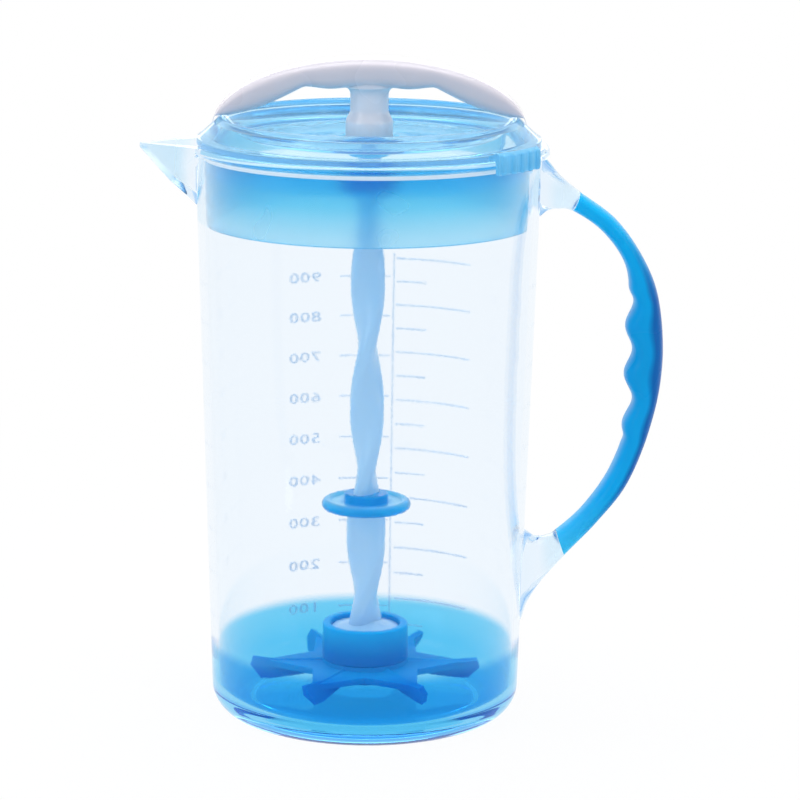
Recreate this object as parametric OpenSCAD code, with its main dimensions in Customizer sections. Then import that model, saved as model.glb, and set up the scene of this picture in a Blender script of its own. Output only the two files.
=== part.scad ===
// Baby formula pitcher: a clear jug with a turning lid, and a pump handle
// whose twisted shaft spins a blade at the floor of the jug.
// Millimetres. +Z is up, and the origin is the centre of the foot ring.
// The carrying handle is on +X and the spout on -X.

/* [Jug] */
// Height of the jug from its foot to its rim
body_h = 180.4; // [160:0.2:205]
// Outer radius of the wall, run down to the foot
base_r = 48.1; // [44:0.1:54]
// Outer radius of the wall at the rim
top_r = 53.4; // [50:0.1:60]
// Thickness of the wall
wall = 2.2; // [1.6:0.1:3]
// Height of the inside floor
floor_z = 5; // [3.5:0.1:6.5]
// Outer radius of the bottom corner
corner_r = 9; // [6:0.5:12]
// Outer radius of the foot ring's inner edge
foot_in_r = 36; // [30:0.5:37.5]
// Depth of the recess inside the foot ring
foot_recess = 1.5; // [0.5:0.1:2]
// How far the rim bead stands out from the wall
bead_out = 1.1; // [0.5:0.1:1.6]
// Height of the rim bead
bead_h = 2.4; // [1.5:0.1:4]
// Radius of the rounded lug on the rim over the handle
lug_r = 1.9; // [1.4:0.1:2.1]

/* [Spout] */
// How far the tip reaches from the wall
spout_reach = 17; // [10:0.2:22]
// Half of the width where the spout meets the wall
spout_half_w = 16; // [11:0.5:18]
// How far the keel's root lies below the rim
spout_root_drop = 19.6; // [15:0.2:22]
// How far the bend of the keel stands out from the wall
spout_bend_out = 8.7; // [7:0.1:9.5]
// How far the bend of the keel lies below the rim
spout_bend_drop = 12.2; // [9:0.1:13]
// Thickness of the spout's walls
spout_wall = 1.7; // [1.2:0.1:2.4]

/* [Carrying handle] */
// Greatest reach of the handle from the wall
handle_reach = 40.5; // [36:0.5:50]
// Height of the farthest point of the handle
handle_mid_z = 113; // [106:0.5:120]
// Half width of the handle at the middle of the grip
grip_half_w = 7.6; // [6:0.1:10]
// Half width of the handle where it meets the jug
root_half_w = 7.4; // [5:0.1:10]
// How far the clear core lies under the skin of the grip
grip_skin = 2; // [1.6:0.1:2.3]
// Height of the finger waves
finger_wave = 1.25; // [0.4:0.05:1.5]
// Pitch of the finger waves
finger_pitch = 15.5; // [12:0.5:18]

/* [Lid] */
// Radius of the lid's flange
flange_r = 53; // [52.6:0.1:53.3]
// Thickness of the flange at its edge
flange_t = 2.2; // [1.6:0.1:2.6]
// Radius of the lid's raised rim
lid_rim_r = 46.7; // [45:0.1:48]
// Height of the raised rim above the jug
lid_rim_h = 8.3; // [6:0.1:10]
// Height of the dish's floor above the jug
lid_floor_h = 2; // [1.6:0.1:3]
// Thickness of the lid's plastic
lid_t = 1.9; // [1.5:0.1:2.2]
// Depth of the skirt below the jug's rim
skirt_depth = 24.3; // [22:0.1:30]
// Thickness of the skirt
skirt_t = 1.8; // [1.4:0.1:2.2]
// Gap between the skirt and the jug's wall
skirt_clear = 0.5; // [0.3:0.05:0.7]
// Width of the pour gap in the skirt, in degrees
pour_gap_angle = 40; // [30:1:60]
// How far the pour gap's top lies below the rim
pour_gap_drop = 6.6; // [6:0.1:9]
// First angle of the thumb tab
tab_from = -48; // [-56:1:-40]
// Angle that the thumb tab covers
tab_span = 21; // [14:1:28]
// Count of ribs on the thumb tab
tab_ribs = 5; // [3:1:7]
// Height of the thumb tab
tab_h = 7.2; // [5.5:0.1:7.6]
// Height of the seal ring
seal_h = 2.2; // [1.6:0.1:2.4]
// Depth of the seal's seat in the skirt
seal_seat = 1; // [0.6:0.1:1.2]
// Depth of the boss below the jug's rim
boss_depth = 10.8; // [8:0.1:12]
// Radius of the flare between the boss and the dish
boss_flare = 7.5; // [2:0.5:8]

/* [Shaft guide] */
// Depth of the guide's nose below the jug's rim
guide_depth = 14.6; // [12:0.1:18]
// Radius of the guide's barrel
guide_r = 7.4; // [6.8:0.1:8]
// Radius of the guide's nose at its lower end
guide_nose_r = 6.4; // [6.1:0.1:6.8]
// Height of the part of the guide that holds the shaft
guide_grip_h = 6; // [3:0.5:8]
// Gap between the twisted shaft and the guide
guide_clear = 0.3; // [0.2:0.05:0.4]

/* [Pump handle] */
// Height of the arch's top above the dish's floor
arch_h = 24.4; // [21:0.2:32]
// Half of the arch's length
arch_half_l = 48.3; // [46:0.1:50]
// Half of the arch's width at its middle
arch_half_w = 9; // [7:0.2:11]
// Thickness of the arch at its middle
arch_t = 9.2; // [7:0.1:10]
// Half of the arch's width at its ends
arch_end_half_w = 6.2; // [4:0.2:8]
// Radius of the post's foot
post_r = 7.3; // [7:0.1:8.5]
// Radius of the post's waist
post_waist_r = 5.9; // [5.7:0.1:6.6]

/* [Twisted shaft] */
// Height over which the shaft turns once
twist_pitch = 80; // [60:1:110]
// Width of the shaft's section over the upper length
shaft_w = 10.6; // [9:0.1:10.8]
// Thickness of the shaft's section over the upper length
shaft_t = 5.8; // [4.5:0.1:6.4]
// Width of the shaft's section over the lower length
low_w = 12.2; // [11:0.1:12.6]
// Thickness of the shaft's section over the lower length
low_t = 7.2; // [6.6:0.1:8]
// Height at which the upper section's wide side faces front
wide_z = 57.3; // [20:0.1:90]
// Radius of the round neck that turns in the collar
neck_r = 3.4; // [3.1:0.1:3.6]
// Radius of the shaft's head
head_r = 4.2; // [4:0.1:4.4]
// Height of the shaft's head
head_h = 3.6; // [2.5:0.1:4]
// Running gap round the neck and the head
running = 0.06; // [0.03:0.01:0.1]

/* [Splash ring] */
// Height of the splash ring's middle
ring_z = 66.6; // [58:0.2:80]
// Outer radius of the splash ring
ring_r = 14; // [12:0.1:18]
// Radius of the ring's round edge
ring_edge_r = 1.65; // [1.2:0.05:2]
// Radius of the splash ring's hub
ring_hub_r = 6.9; // [6.6:0.1:8]
// Height of the splash ring's hub
ring_hub_h = 5.4; // [4.4:0.1:8]

/* [Blade] */
// Gap between the blade and the jug's floor
blade_gap = 4.3; // [2:0.1:6]
// Radius of the blade over its tips
blade_r = 36.4; // [30:0.2:38.5]
// Count of blade arms
blade_arms = 6; // [3:1:8]
// Radius of the star plate between two arms
star_in_r = 19; // [16:0.5:24]
// Height of the arms
arm_h = 6.6; // [5:0.1:9]
// Thickness of the arms
arm_t = 1.9; // [1.4:0.1:3]
// Lean of the arms
arm_lean = 24; // [0:1:35]
// Outer radius of the hub cup
cup_r = 13.5; // [12.5:0.1:15]
// Thickness of the hub cup's wall
cup_wall = 2.6; // [2:0.1:3]
// Height of the hub cup
cup_h = 11.4; // [9:0.1:14]

/* [Hidden] */

$fn = 96;
eps = 0.01;
fit = 0.05;            // gap round a piece that is pushed into its seat
thin_gap = 0.1;        // gap between two faces that turn or slide past each other
cut_past = 4;          // how far a cut runs on past the face it opens
lap = 0.3;             // how far one form of a piece runs into the next

clear_blue = [0.86, 0.93, 0.97, 0.45];
lid_blue = [0.42, 0.74, 0.93, 0.65];
deep_blue = [0.05, 0.56, 0.84];
grip_blue = [0.02, 0.58, 0.86];
cup_blue = [0.0, 0.46, 0.76];
soft_white = [0.93, 0.93, 0.96];
shaft_white = [0.8, 0.87, 0.95];

// Outer and inner radius of the jug's wall at a height
function wall_r(z) = base_r + (top_r - base_r) * z / body_h;
function inner_r(z) = wall_r(z) - wall;

// Points of an arc in a profile, from one angle to another
function arc(cx, cz, r, a0, a1, n = 8) = [for (i = [0:n])
    let (a = a0 + (a1 - a0) * i / n) [cx + r * cos(a), cz + r * sin(a)]];

// A closed skin over rings of equally many points, which run clockwise
// as seen from the first ring looking along to the last
module skin(rings) {
    n = len(rings[0]);
    last = len(rings) - 1;
    pts = [for (r = rings) each r];
    sides = [for (k = [0:last - 1], i = [0:n - 1])
        let (j = (i + 1) % n)
        each [[k * n + i, k * n + j, (k + 1) * n + i], [k * n + j, (k + 1) * n + j, (k + 1) * n + i]]];
    bottom = [for (i = [1:n - 2]) [0, i + 1, i]];
    top = [for (i = [1:n - 2]) [last * n, last * n + i, last * n + i + 1]];
    polyhedron(points = pts, faces = concat(sides, bottom, top), convexity = 6);
}

// Catmull-Rom curve through the points p, at the place u counted in points
function spline_at(p, u) =
    let (n = len(p) - 1,
        k = min(floor(u), n - 1),
        t = u - k,
        a = p[max(k - 1, 0)],
        b = p[k],
        c = p[k + 1],
        d = p[min(k + 2, n)])
    0.5 * (2 * b + (c - a) * t + (2 * a - 5 * b + 4 * c - d) * pow(t, 2)
        + (3 * b - a - 3 * c + d) * pow(t, 3));

function squash(v, p) = sign(v) * pow(abs(v), p);
function ramp(v, a, b) = let (t = max(0, min(1, (v - a) / (b - a)))) t * t * (3 - 2 * t);

// ---------------------------------------------------------------- the jug

module jug_wall() {
    top = body_h;
    in_corner = corner_r - wall;
    rotate_extrude($fn = 160)
        polygon(concat(
            [[0, foot_recess], [foot_in_r - foot_recess, foot_recess], [foot_in_r, 0]],
            arc(wall_r(corner_r) - corner_r, corner_r, corner_r, -90, 0),
            [[wall_r(top - bead_h), top - bead_h]],
            arc(wall_r(top) + bead_out - bead_h / 2, top - bead_h / 2, bead_h / 2, -60, 90, 6),
            [[inner_r(top), top]],
            arc(inner_r(floor_z + in_corner) - in_corner, floor_z + in_corner, in_corner, 0, -90),
            [[0, floor_z]]));
}

// Rounded lug on the rim, over the root of the handle
module rim_lug() {
    half = 9;
    rotate([0, 0, -half])
        rotate_extrude(angle = 2 * half)
            translate([wall_r(body_h) + bead_out - 0.8, body_h - lug_r])
                circle(r = lug_r, $fn = 32);
}

// A V with a bent keel. The tip is rounded by the radius tip, and the
// corners at the rim lie further into the jug by the length through.
module spout_form(inset, lift, tip, through) {
    root_x = wall_r(body_h - spout_root_drop);
    rim_x = sqrt(pow(wall_r(body_h) - wall / 2, 2) - pow(spout_half_w, 2));
    hull() {
        for (side = [-1, 1]) {
            translate([-rim_x + inset + through, side * (spout_half_w - inset), body_h - 1])
                cylinder(r = 0.6, h = 1 + lift, $fn = 16);
        }
        translate([-root_x + 1.7 + inset * 2, 0, body_h - spout_root_drop + inset * 1.7])
            sphere(r = 1.2, $fn = 24);
        translate([-root_x - spout_bend_out + 1.2 + inset * 0.9, 0,
            body_h - spout_bend_drop + 1 + inset * 1.4])
            sphere(r = 1.2, $fn = 24);
        translate([-wall_r(body_h) - spout_reach + tip + inset * 1.8, 0, body_h - 1.6])
            cylinder(r = tip, h = 1.2 + lift, $fn = 24);
    }
}

// Guide points of the handle: [stand-off from the wall, height]. They are
// given for the three lengths below, and follow the handle's own lengths.
drawn_reach = 40.5;     // reach from the wall
drawn_mid_z = 113;      // height of the farthest point
drawn_drop = 67.4;      // depth of the farthest point below the rim
out_share = handle_reach / drawn_reach;
up_share = handle_mid_z / drawn_mid_z;
drop_share = (body_h - handle_mid_z) / drawn_drop;
// The upper points hang from the rim and the lower ones stand on the foot
function guide(off, z) = [wall_r(z) + off * out_share, z];
function hung(off, drop) = guide(off, body_h - drop * drop_share);
function stood(off, z) = guide(off, z * up_share);
handle_outer = [
    hung(-1.2, 2.2), hung(0.5, 3.2), hung(4.0, 7.5), hung(7.3, 10.9), hung(12.1, 14.6),
    hung(24.0, 23.3), hung(33.2, 35.7), hung(38.4, 48.6), stood(40.5, 113),
    stood(38.2, 94), stood(31.8, 74.6), stood(22.8, 61.6), stood(12.9, 50.5),
    stood(5.8, 41.9), stood(2.0, 35.3), stood(0.2, 29.5), stood(-1.2, 27)];
handle_inner = [
    hung(-1.2, 23.0), hung(0.3, 22.0), hung(2.5, 20.2), hung(5.6, 19.7), hung(9.9, 20.3),
    hung(19.2, 26.4), hung(26.9, 36.6), hung(29.1, 48.6), stood(29.6, 113),
    stood(30.2, 94), stood(25.9, 78.6), stood(18.1, 66.1), stood(10.0, 58.2),
    stood(6.9, 56.4), stood(3.6, 56.2), stood(0.6, 58.0), stood(-1.2, 59.5)];
// Places along the handle, counted in guide points
grip_first = 4;
grip_last = 12;
handle_end = 16;
// Share of the root's half width that the waist keeps
waist_share = 0.81;

// Half width of the handle at the place u
function handle_half_w(u) =
    let (near = min(u, handle_end - u), waist = root_half_w * waist_share)
    root_half_w + (waist - root_half_w) * ramp(near, 0.5, grip_first)
    + (grip_half_w - waist) * ramp(near, grip_first, 7.5);

// Finger waves on the inner side of the grip, between two heights
wave_low_z = handle_mid_z - finger_pitch * 1.74;
wave_high_z = handle_mid_z + finger_pitch * 1.61;
wave_fade = finger_pitch * 0.36;
function wave(z) = finger_wave * cos(360 * ((z - handle_mid_z) / finger_pitch + 0.284))
    * ramp(z, wave_low_z, wave_low_z + wave_fade) * (1 - ramp(z, wave_high_z - wave_fade, wave_high_z));

function handle_ring(u, inset, waved, sides) =
    let (o = spline_at(handle_outer, u),
        i0 = spline_at(handle_inner, u),
        i = [i0[0] - (waved ? wave(i0[1]) : 0), i0[1]],
        mid = (o + i) / 2,
        half = norm(o - i) / 2 - inset,
        dir = (o - i) / norm(o - i),
        w = handle_half_w(u) - inset)
    [for (k = [0:sides - 1])
        let (a = 360 * (k + 0.5) / sides,
            d = half * squash(cos(a), 0.8),
            y = w * squash(sin(a), 0.8))
        [mid[0] + dir[0] * d, y, mid[1] + dir[1] * d]];

module handle_core() {
    skin([for (u = [grip_first - 0.3:0.4:grip_last + 0.35]) handle_ring(u, grip_skin, false, 12)]);
}

module pitcher_body() {
    color(clear_blue)
        difference() {
            union() {
                jug_wall();
                rim_lug();
                difference() {
                    intersection() {
                        spout_form(0, 0, 1, 0);
                        translate([-base_r * 2, -base_r, 0])
                            cube([base_r * 2, base_r * 2, body_h]);
                    }
                    // The spout's root ends in the middle of the wall
                    cylinder(r1 = wall_r(0) - wall / 2, r2 = wall_r(body_h + 1) - wall / 2, h = body_h + 1);
                }
                skin([for (u = [0:0.5:grip_first]) handle_ring(u, 0, false, 16)]);
                skin([for (u = [grip_last:0.5:handle_end]) handle_ring(u, 0, false, 16)]);
                handle_core();
            }
            // Channel of the spout, through the wall
            spout_form(spout_wall, cut_past, 0.5, wall * 2);
        }
}

module handle_grip() {
    color(grip_blue)
        difference() {
            skin([for (u = [grip_first + 0.02:0.14:grip_last]) handle_ring(u, 0, true, 16)]);
            skin([for (u = [grip_first - 0.3:0.4:grip_last + 0.35])
                handle_ring(u, grip_skin - thin_gap, false, 12)]);
        }
}

// ---------------------------------------------------------------- the lid

rim_z = body_h;                           // where the lid rests on the jug
dish_z = rim_z + lid_floor_h;             // top of the dish's floor
lid_top = rim_z + lid_rim_h;
seal_top = rim_z - 1.8;
seal_low = seal_top - seal_h;
skirt_low = rim_z - skirt_depth;
function skirt_r(z) = inner_r(z) - skirt_clear;
tab_in_r = wall_r(body_h) + bead_out - 0.8 + lug_r + 0.4;
tab_out_r = tab_in_r + 1.6;
flange_seat = 4.1;                        // width of the flange's flat underside
flange_lip = 1.2;                         // width of the flange's level edge
edge_to_edge = [160, 40];                 // angles where the rim's round edge starts and ends

// The dish: floor, raised rim and flange, hollow under the rim
module dish() {
    edge = lid_t / 2;
    in_foot = lid_rim_r - 6;
    rotate_extrude($fn = 160)
        polygon(concat(
            [[0, dish_z], [in_foot - 2, dish_z]],
            [[in_foot + 0.2, dish_z + 0.7], [lid_rim_r - edge * 2.6, lid_top - edge * 1.6]],
            arc(lid_rim_r - edge * 1.2, lid_top - edge, edge, edge_to_edge[0], edge_to_edge[1], 6),
            [[flange_r - flange_lip, rim_z + flange_t + 0.5], [flange_r, rim_z + flange_t]],
            [[flange_r, rim_z], [flange_r - flange_seat, rim_z]],
            [[flange_r - flange_seat, rim_z + 1.2], [lid_rim_r - 0.4, lid_top - lid_t - 0.6]],
            [[lid_rim_r - 1.6, lid_top - lid_t - 0.6], [in_foot + 2.2, dish_z - lid_t + 1.2]],
            [[in_foot, dish_z - lid_t], [0, dish_z - lid_t]]));
}

// Shoulder inside the flange, from the skirt's top to the flange's edge,
// wherever that edge is
module shoulder() {
    inner = skirt_r(rim_z) - skirt_t + lap;
    width = skirt_t - lap * 2;
    rotate_extrude($fn = 160) {
        translate([inner, rim_z - lap])
            square([width, lap * 2]);
        hull() {
            translate([inner, rim_z + eps])
                square([width, flange_t / 2]);
            translate([flange_r - flange_lip, rim_z + eps])
                square([flange_lip - lap, flange_t - lap]);
        }
    }
}

module skirt() {
    difference() {
        rotate_extrude($fn = 160)
            polygon([
                [skirt_r(rim_z), rim_z + eps],
                [skirt_r(seal_top), seal_top],
                [skirt_r(seal_top) - seal_seat, seal_top],
                [skirt_r(seal_low) - seal_seat, seal_low],
                [skirt_r(seal_low), seal_low],
                [skirt_r(skirt_low), skirt_low],
                [skirt_r(skirt_low) - skirt_t, skirt_low],
                [skirt_r(seal_low - 2) - skirt_t, seal_low - 2],
                [skirt_r(seal_low) - skirt_t - seal_seat, seal_low],
                [skirt_r(rim_z) - skirt_t - seal_seat, rim_z + eps]]);
        // Pour gap, facing the handle while the lid is shut
        rotate([0, 0, -pour_gap_angle / 2])
            rotate_extrude(angle = pour_gap_angle)
                translate([skirt_r(skirt_low) - skirt_t - 2, skirt_low - 1])
                    square([skirt_t + 2 + cut_past, skirt_depth + 1 - pour_gap_drop]);
    }
}

// Ribbed thumb tab that hangs over the rim bead
module thumb_tab() {
    tab_top = rim_z + flange_t + 1.4;
    rib_r = 1.15;
    rotate([0, 0, tab_from])
        rotate_extrude(angle = tab_span)
            polygon([
                [flange_r - 1.6, rim_z + 0.9],
                [tab_in_r - 0.6, rim_z + 0.9],
                [tab_in_r, rim_z + 0.3],
                [tab_in_r, tab_top - tab_h + 0.5],
                [tab_in_r + 0.5, tab_top - tab_h],
                [tab_out_r - 0.5, tab_top - tab_h],
                [tab_out_r, tab_top - tab_h + 0.5],
                [tab_out_r, tab_top - 1.6],
                [tab_out_r - 1.4, tab_top - 0.6],
                [flange_r - 0.8, rim_z + flange_t + 0.2]]);
    for (i = [0:tab_ribs - 1]) {
        rotate([0, 0, tab_from + tab_span * (i + 0.5) / tab_ribs])
            translate([tab_out_r - 0.1, 0, tab_top - tab_h]) {
                cylinder(r = rib_r, h = tab_h - 2, $fn = 24);
                translate([0, 0, tab_h - 2])
                    sphere(r = rib_r, $fn = 24);
            }
    }
}

boss_low = rim_z - boss_depth;
boss_r = guide_r + 1.8;
guide_low = rim_z - guide_depth;
guide_flange_t = 1.4;

module lid() {
    under = dish_z - lid_t;
    color(lid_blue)
        difference() {
            union() {
                dish();
                shoulder();
                skirt();
                thumb_tab();
                // Boss, which flares into the dish's floor
                rotate_extrude()
                    polygon(concat(
                        [[0, boss_low], [boss_r - 0.6, boss_low]],
                        arc(boss_r + boss_flare, under - boss_flare, boss_flare, 180, 90),
                        [[boss_r + boss_flare, under + eps], [0, under + eps]]));
            }
            translate([0, 0, boss_low - 1])
                cylinder(r = guide_r + fit, h = dish_z - boss_low + 2);
            translate([0, 0, dish_z - guide_flange_t - fit])
                cylinder(r = guide_r + 2 + fit, h = guide_flange_t + 1);
        }
}

module lid_seal() {
    low = seal_low + thin_gap;
    top = seal_top - thin_gap;
    mid = (low + top) / 2;
    out = inner_r(mid) - thin_gap;
    back = skirt_r(seal_top) - seal_seat + thin_gap;
    color(soft_white)
        rotate_extrude($fn = 160)
            polygon([[back, low], [out - 0.5, low], [out - 0.1, mid - 0.5], [out, mid],
                [out - 0.1, mid + 0.5], [out - 0.5, top], [back, top]]);
}

// ---------------------------------------------------------- the shaft drive

// One section of the twisted shaft at a height, grown by a gap: an oval
// with flattened sides, whose four soft corners wind up the shaft
function shaft_ring(z, w, t, gap, sides = 20) =
    let (turn = 360 * (z - wide_z) / twist_pitch, c = cos(turn), s = sin(turn), flatness = 0.75)
    [for (i = [0:sides - 1])
        let (a = -360 * (i + 0.5) / sides,
            x = (w / 2 + gap) * squash(cos(a), flatness),
            y = (t / 2 + gap) * squash(sin(a), flatness))
        [x * c - y * s, x * s + y * c, z]];

// A stretch of the helix between two heights, cut at every few degrees of turn
module helix(z0, z1, w, t, gap) {
    steps = ceil((z1 - z0) * 36 / twist_pitch);
    skin([for (k = [0:steps]) shaft_ring(z0 + (z1 - z0) * k / steps, w, t, gap)]);
}

module shaft_guide() {
    flange_top = dish_z;
    bore_r = shaft_w / 2 + guide_clear + 0.15;
    color(deep_blue)
        difference() {
            union() {
                translate([0, 0, flange_top - guide_flange_t])
                    cylinder(r = guide_r + 2, h = guide_flange_t);
                translate([0, 0, boss_low])
                    cylinder(r = guide_r, h = flange_top - guide_flange_t - boss_low + eps);
                translate([0, 0, guide_low])
                    cylinder(r1 = guide_nose_r, r2 = guide_r + 0.4, h = boss_low - guide_low);
            }
            translate([0, 0, guide_low + guide_grip_h])
                cylinder(r = bore_r, h = flange_top - guide_low);
            helix(guide_low - 1, guide_low + guide_grip_h + 0.5, shaft_w, shaft_t, guide_clear);
        }
}

collar_h = 4;
collar_low = dish_z + 0.3;
collar_r = 5.5;
head_low = collar_low + collar_h + thin_gap;
head_top = head_low + head_h;

module twisted_shaft() {
    plug_r = cup_r - cup_wall - fit;
    plug_low = cup_low + 1;
    plug_top = cup_low + cup_h - 1.4;
    helix_top = dish_z - 1.2;
    foot_flare = 7;
    foot_out = 5;
    color(shaft_white)
        union() {
            helix(ring_low - eps, helix_top, shaft_w, shaft_t, 0);
            helix(plug_top - 1, ring_low, low_w, low_t, 0);
            translate([0, 0, helix_top - 1])
                cylinder(r1 = shaft_t / 2 - 0.2, r2 = neck_r, h = 1);
            translate([0, 0, helix_top - eps])
                cylinder(r = neck_r, h = head_low - helix_top + eps * 2);
            translate([0, 0, head_low])
                cylinder(r = head_r, h = head_h - 0.8);
            translate([0, 0, head_top - 0.8 - eps])
                cylinder(r1 = head_r, r2 = head_r - 0.8, h = 0.8);
            translate([0, 0, plug_low])
                cylinder(r = plug_r, h = plug_top - plug_low);
            // Flared foot of the shaft, standing on the plug
            rotate_extrude()
                polygon(concat([[0, plug_top - eps], [plug_r - 3.4, plug_top - eps]],
                    arc(low_t / 2 + foot_out, plug_top + foot_flare, foot_flare, 225, 180, 5),
                    [[0, plug_top + foot_flare]]));
        }
}

module swivel_collar() {
    color(soft_white)
        difference() {
            translate([0, 0, collar_low])
                cylinder(r = collar_r, h = collar_h);
            translate([0, 0, collar_low - 1])
                cylinder(r = neck_r + running, h = collar_h + 2);
        }
}

// ---------------------------------------------------------- the pump handle

arch_end_z = lid_top + 0.4;
arch_top = dish_z + arch_h;

level_l = 20;                             // half length of the arch's level underside
ripple_l = 16;                            // length of one ripple of that underside
ripple_h = 0.35;                          // half the height of a ripple

// Top and underside of the arch at a distance from the post
function arch_over(x) = let (foot = arch_end_z - 4.2)
    foot + (arch_top - foot) * sqrt(max(0, 1 - pow(x / arch_half_l, 2)));
function arch_under(x) =
    let (d = abs(x), crown = arch_top - arch_t, run = arch_half_l - 1.6 - level_l)
    d < level_l
        ? crown + ripple_h * (1 + cos(360 * (d - level_l) / ripple_l))
        : crown + ripple_h * 2 - (crown + ripple_h * 2 - arch_end_z) * sin(90 * min(1, (d - level_l) / run));

function arch_ring(x, sides) =
    let (hi = arch_over(x),
        lo = min(arch_under(x), hi - 0.6),
        mid = (hi + lo) / 2,
        half = (hi - lo) / 2,
        w = arch_end_half_w + (arch_half_w - arch_end_half_w) * (1 - pow(abs(x) / arch_half_l, 2)))
    [for (k = [0:sides - 1])
        let (a = 360 * (k + 0.5) / sides)
        [x, w * squash(cos(a), 0.45), mid + half * squash(sin(a), 0.55)]];

module post() {
    shoulder = arch_under(post_waist_r + 2.1);
    swell = dish_z + 4.4;
    waist = swell + 4;
    rotate_extrude()
        polygon(concat(
            [[0, dish_z], [post_r - 0.4, dish_z], [post_r, dish_z + 0.4], [post_r, swell]],
            [for (i = [1:6]) let (t = i / 6)
                [post_r + (post_waist_r - post_r) * ramp(t, 0, 1), swell + (waist - swell) * t]],
            arc(post_waist_r + 2.4, shoulder - 2.4, 2.4, 180, 90, 6),
            [[post_waist_r + 2.4, shoulder + 2], [0, shoulder + 2]]));
}

module pump_handle() {
    step = arch_half_l / 24.2;
    color(soft_white)
        difference() {
            union() {
                skin([for (i = [-24:24]) arch_ring(-i * step, 16)]);
                post();
            }
            translate([0, 0, dish_z - 1])
                cylinder(r = collar_r + fit, h = collar_low + collar_h - dish_z + 1);
            translate([0, 0, dish_z])
                cylinder(r = head_r + running, h = head_top + thin_gap - dish_z);
        }
}

// ------------------------------------------------------------- the mixer

cup_low = floor_z + blade_gap + arm_h + 0.8;
ring_low = ring_z - ring_hub_h / 2 + 0.8;

module splash_ring() {
    edge_mid = ring_r - ring_edge_r;
    color(deep_blue)
        difference() {
            union() {
                rotate_extrude()
                    translate([edge_mid, ring_z])
                        circle(r = ring_edge_r, $fn = 32);
                translate([0, 0, ring_z - 0.8])
                    cylinder(r = edge_mid, h = 1.6);
                translate([0, 0, ring_low + eps])
                    cylinder(r = ring_hub_r, h = ring_hub_h);
            }
            helix(ring_low - 1, ring_low + ring_hub_h + 1, shaft_w, shaft_t, 0.12);
        }
}

module blade_hub() {
    floor_t = 1;
    color(cup_blue)
        difference() {
            translate([0, 0, cup_low])
                cylinder(r = cup_r, h = cup_h);
            translate([0, 0, cup_low + floor_t])
                cylinder(r = cup_r - cup_wall, h = cup_h);
        }
}

// Outline of one arm, seen from its side
module arm_outline() {
    low = floor_z + blade_gap;
    polygon([
        [cup_r - 3, low + arm_h],
        [blade_r * 0.74, low + arm_h - 0.6],
        [blade_r - 0.8, low + arm_h + 0.4],
        [blade_r, low + arm_h - 2.4],
        [blade_r - 3.4, low],
        [blade_r - 6.6, low],
        [star_in_r, low + 1.6],
        [cup_r - 3, low + 1.6]]);
}

module impeller() {
    low = floor_z + blade_gap;
    star_z = low + arm_h - 2.6;
    color(grip_blue)
        union() {
            translate([0, 0, star_z])
                linear_extrude(height = 2)
                    polygon([for (i = [0:2 * blade_arms - 1])
                        let (r = i % 2 == 0 ? blade_r - 4.5 : star_in_r, a = 180 * i / blade_arms)
                        r * [cos(a), sin(a)]]);
            translate([0, 0, low + 1.6])
                cylinder(r = cup_r, h = cup_low - low - 1.6);
            for (i = [0:blade_arms - 1]) {
                rotate([0, 0, 360 * i / blade_arms])
                    translate([0, 0, star_z + 1])
                        rotate([arm_lean, 0, 0])
                            translate([0, arm_t / 2, -star_z - 1])
                                rotate([90, 0, 0])
                                    linear_extrude(height = arm_t)
                                        arm_outline();
            }
        }
}

pitcher_body();
handle_grip();
lid();
lid_seal();
shaft_guide();
pump_handle();
swivel_collar();
twisted_shaft();
splash_ring();
blade_hub();
impeller();
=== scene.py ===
"""A pitcher that mixes baby formula: clear jug, soft grip, turning blue lid and a pump handle
whose twisted shaft spins a star blade. Lengths are millimetres until a piece is finished."""

import math

import bmesh
import bpy
from mathutils import Matrix, Vector


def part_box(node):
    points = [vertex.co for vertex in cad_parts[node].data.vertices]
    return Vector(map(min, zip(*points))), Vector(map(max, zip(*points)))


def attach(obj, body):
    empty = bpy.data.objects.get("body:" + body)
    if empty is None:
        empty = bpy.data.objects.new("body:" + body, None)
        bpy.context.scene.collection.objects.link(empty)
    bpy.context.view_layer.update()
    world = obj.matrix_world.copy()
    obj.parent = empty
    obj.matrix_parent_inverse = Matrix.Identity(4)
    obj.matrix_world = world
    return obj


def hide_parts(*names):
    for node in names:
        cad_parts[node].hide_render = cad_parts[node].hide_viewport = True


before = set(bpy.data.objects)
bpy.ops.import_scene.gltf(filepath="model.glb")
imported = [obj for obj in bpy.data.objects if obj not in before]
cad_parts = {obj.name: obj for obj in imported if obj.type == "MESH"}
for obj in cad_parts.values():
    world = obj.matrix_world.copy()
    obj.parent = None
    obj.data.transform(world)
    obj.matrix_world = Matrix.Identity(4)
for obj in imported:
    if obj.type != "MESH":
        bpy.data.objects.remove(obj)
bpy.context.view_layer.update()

MM = 0.001
TURN = 2 * math.pi


def top_of(node):
    """Height of a CAD node's top, in millimetres."""
    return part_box(node)[1].z / MM


def bottom_of(node):
    """Height of a CAD node's underside, in millimetres."""
    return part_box(node)[0].z / MM


def reach_of(node):
    """How far a CAD node reaches on +X, in millimetres."""
    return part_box(node)[1].x / MM


# ------------------------------------------------------------------ sizes
# The jug
BODY_H = top_of("pitcher_body")
BASE_R, TOP_R = 48.1, 53.4
WALL = 2.2
FLOOR_Z = 5.0
CORNER_R = 9.0
FOOT_IN_R, FOOT_RECESS = 36.0, 1.5
BEAD_OUT, BEAD_H = 1.07, 2.4
LIP_R = 0.5
LUG_R, LUG_SUNK, LUG_HALF_ANGLE = 1.9, 0.8, 9.0
# The spout
SPOUT_REACH, SPOUT_HALF_W = 17.0, 16.0
SPOUT_ROOT_DROP = 19.6
SPOUT_BEND_OUT, SPOUT_BEND_DROP = 8.7, 12.2
SPOUT_WALL = 1.7
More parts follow.
